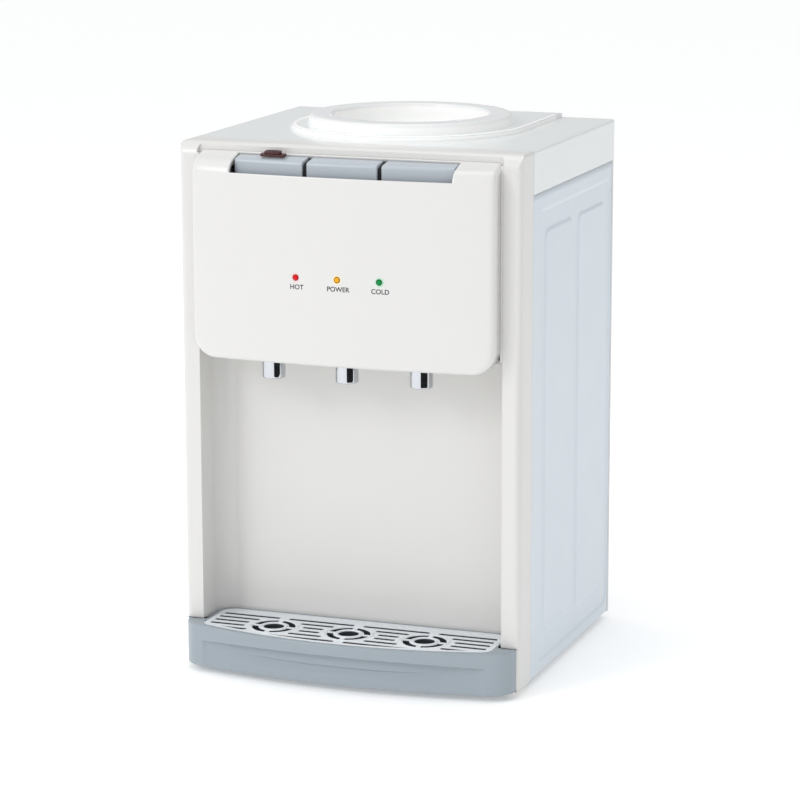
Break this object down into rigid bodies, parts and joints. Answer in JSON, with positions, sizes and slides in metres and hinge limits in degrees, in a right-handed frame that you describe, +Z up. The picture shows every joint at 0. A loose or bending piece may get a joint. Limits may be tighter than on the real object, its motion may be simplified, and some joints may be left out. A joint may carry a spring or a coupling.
{
  "type": "countertop water dispenser",
  "caption": "White countertop hot and cold water dispenser with push-button taps, an alcove with a lift-out drip tray, and a round bottle seat on top.",
  "frame": {"origin": "centre of the whole object's box in plan, on the standing surface under the feet", "axes": "+Z up, -Y towards the user at the front, +X to the right seen from the front"},
  "size_m": [0.3, 0.304, 0.4655],
  "materials": {
    "white_plastic": "smooth gloss white",
    "panel_paint": "satin pale blue-grey paint on pressed steel sheet",
    "galvanised_steel": "dull zinc-coated sheet",
    "foot_rubber": "matt",
    "tray_grey": "smooth blue-grey",
    "grille_grey": "satin light grey",
    "inner_plastic": "satin natural white",
    "spout_chrome": "polished",
    "bright_steel": "bright",
    "button_grey": "smooth blue-grey",
    "lock_red": "smooth dark red",
    "board_green": "solder-masked board",
    "led_red": "tinted clear lens",
    "led_amber": "tinted clear lens",
    "led_green": "tinted clear lens",
    "stainless_steel": "bright drawn sheet",
    "foam": "closed-cell foam",
    "aluminium": "extruded",
    "module_ceramic": "matt",
    "black_plastic": "fine texture",
    "heater_brass": "dull",
    "silicone": "translucent white silicone",
    "rocker_red": "smooth",
    "rocker_green": "smooth",
    "cap_blue": "smooth"
  },
  "bodies": {
    "housing": {"front_panel": "white_plastic", "fascia": "white_plastic", "top_cover": "white_plastic", "side_panel_left": "panel_paint", "side_panel_right": "panel_paint", "rear_panel": "panel_paint", "base_plate": "galvanised_steel", "tank_bracket": "galvanised_steel", "hot_stand": "galvanised_steel", "power_supply": "galvanised_steel", "feet": "foot_rubber", "tap_shelf": "inner_plastic", "tap_bodies": "inner_plastic", "button_bracket": "inner_plastic", "tank_lid": "inner_plastic", "drain_spigot": "inner_plastic", "spout_hot": "spout_chrome", "spout_ambient": "spout_chrome", "spout_cold": "spout_chrome", "spring_hot": "bright_steel", "spring_ambient": "bright_steel", "spring_cold": "bright_steel", "button_rod": "bright_steel", "cover_screws": "bright_steel", "led_board": "board_green", "led_hot": "led_red", "led_power": "led_amber", "led_cold": "led_green", "cold_tank": "stainless_steel", "hot_tank": "stainless_steel", "insulation_left": "foam", "insulation_right": "foam", "hot_jacket": "foam", "cold_block": "aluminium", "heat_sink": "aluminium", "cooling_module": "module_ceramic", "fan_frame": "black_plastic", "thermostats": "black_plastic", "switch_housings": "black_plastic", "power_inlet": "black_plastic", "heater_band": "heater_brass", "tube_cold": "silicone", "tube_ambient": "silicone", "tube_hot": "silicone", "tube_feed": "silicone", "tube_drain": "silicone"},
    "button_hot_body": {"button_hot": "button_grey"},
    "button_ambient_body": {"button_ambient": "button_grey"},
    "button_cold_body": {"button_cold": "button_grey"},
    "lock_body": {"child_lock": "lock_red"},
    "valve_hot_body": {"plunger_hot": "inner_plastic"},
    "valve_ambient_body": {"plunger_ambient": "inner_plastic"},
    "valve_cold_body": {"plunger_cold": "inner_plastic"},
    "tray_body": {"drip_tray": "tray_grey"},
    "grille_body": {"drip_grille": "grille_grey"},
    "collar_body": {"bottle_collar": "white_plastic"},
    "fan_body": {"fan_rotor": "black_plastic"},
    "rocker_heat_body": {"rocker_heat": "rocker_red"},
    "rocker_cool_body": {"rocker_cool": "rocker_green"},
    "drain_cap_body": {"drain_cap": "cap_blue"}
  },
  "joints": [
    {"name": "press_hot", "type": "hinge", "parent": "housing", "child": "button_hot_body", "pos_m": [-0.0653, -0.098, 0.428], "axis": [1, 0, 0], "range_deg": [0, 8], "stiffness_Nm_per_rad": 0.3, "springref_deg": -4.58},
    {"name": "valve_hot", "type": "slide", "parent": "housing", "child": "valve_hot_body", "axis": [0, 0, -1], "range_m": [0, 0.0024], "deforming": ["spring_hot"]},
    {"name": "press_ambient", "type": "hinge", "parent": "housing", "child": "button_ambient_body", "pos_m": [0, -0.098, 0.428], "axis": [1, 0, 0], "range_deg": [0, 8], "stiffness_Nm_per_rad": 0.3, "springref_deg": -4.58},
    {"name": "valve_ambient", "type": "slide", "parent": "housing", "child": "valve_ambient_body", "axis": [0, 0, -1], "range_m": [0, 0.0024], "deforming": ["spring_ambient"]},
    {"name": "press_cold", "type": "hinge", "parent": "housing", "child": "button_cold_body", "pos_m": [0.0653, -0.098, 0.428], "axis": [1, 0, 0], "range_deg": [0, 8], "stiffness_Nm_per_rad": 0.3, "springref_deg": -4.58},
    {"name": "valve_cold", "type": "slide", "parent": "housing", "child": "valve_cold_body", "axis": [0, 0, -1], "range_m": [0, 0.0024], "deforming": ["spring_cold"]},
    {"name": "lock_slide", "type": "slide", "parent": "button_hot_body", "child": "lock_body", "axis": [0, -0.9877, -0.1564], "range_m": [0, 0.004]},
    {"name": "tray_slide", "type": "slide", "parent": "housing", "child": "tray_body", "axis": [0, -1, 0], "range_m": [0, 0.12]},
    {"name": "grille_lift", "type": "slide", "parent": "tray_body", "child": "grille_body", "axis": [0, 0, 1], "range_m": [0, 0.05]},
    {"name": "collar_lift", "type": "slide", "parent": "housing", "child": "collar_body", "axis": [0, 0, 1], "range_m": [0, 0.08]},
    {"name": "fan_spin", "type": "hinge", "parent": "housing", "child": "fan_body", "pos_m": [0, 0.14, 0.354], "axis": [0, 1, 0], "continuous": true},
    {"name": "switch_heat", "type": "hinge", "parent": "housing", "child": "rocker_heat_body", "pos_m": [0.07, 0.144, 0.126], "axis": [1, 0, 0], "range_deg": [0, 16]},
    {"name": "switch_cool", "type": "hinge", "parent": "housing", "child": "rocker_cool_body", "pos_m": [0.098, 0.144, 0.126], "axis": [1, 0, 0], "range_deg": [0, 16]},
    {"name": "drain_cap_out", "type": "slide", "parent": "housing", "child": "drain_cap_body", "axis": [0, 1, 0], "range_m": [0, 0.02]}
  ],
  "couplings": [
    {"joint": "valve_hot", "follows": "press_hot", "m_per_rad": 0.017},
    {"joint": "valve_ambient", "follows": "press_ambient", "m_per_rad": 0.017},
    {"joint": "valve_cold", "follows": "press_cold", "m_per_rad": 0.017}
  ]
}
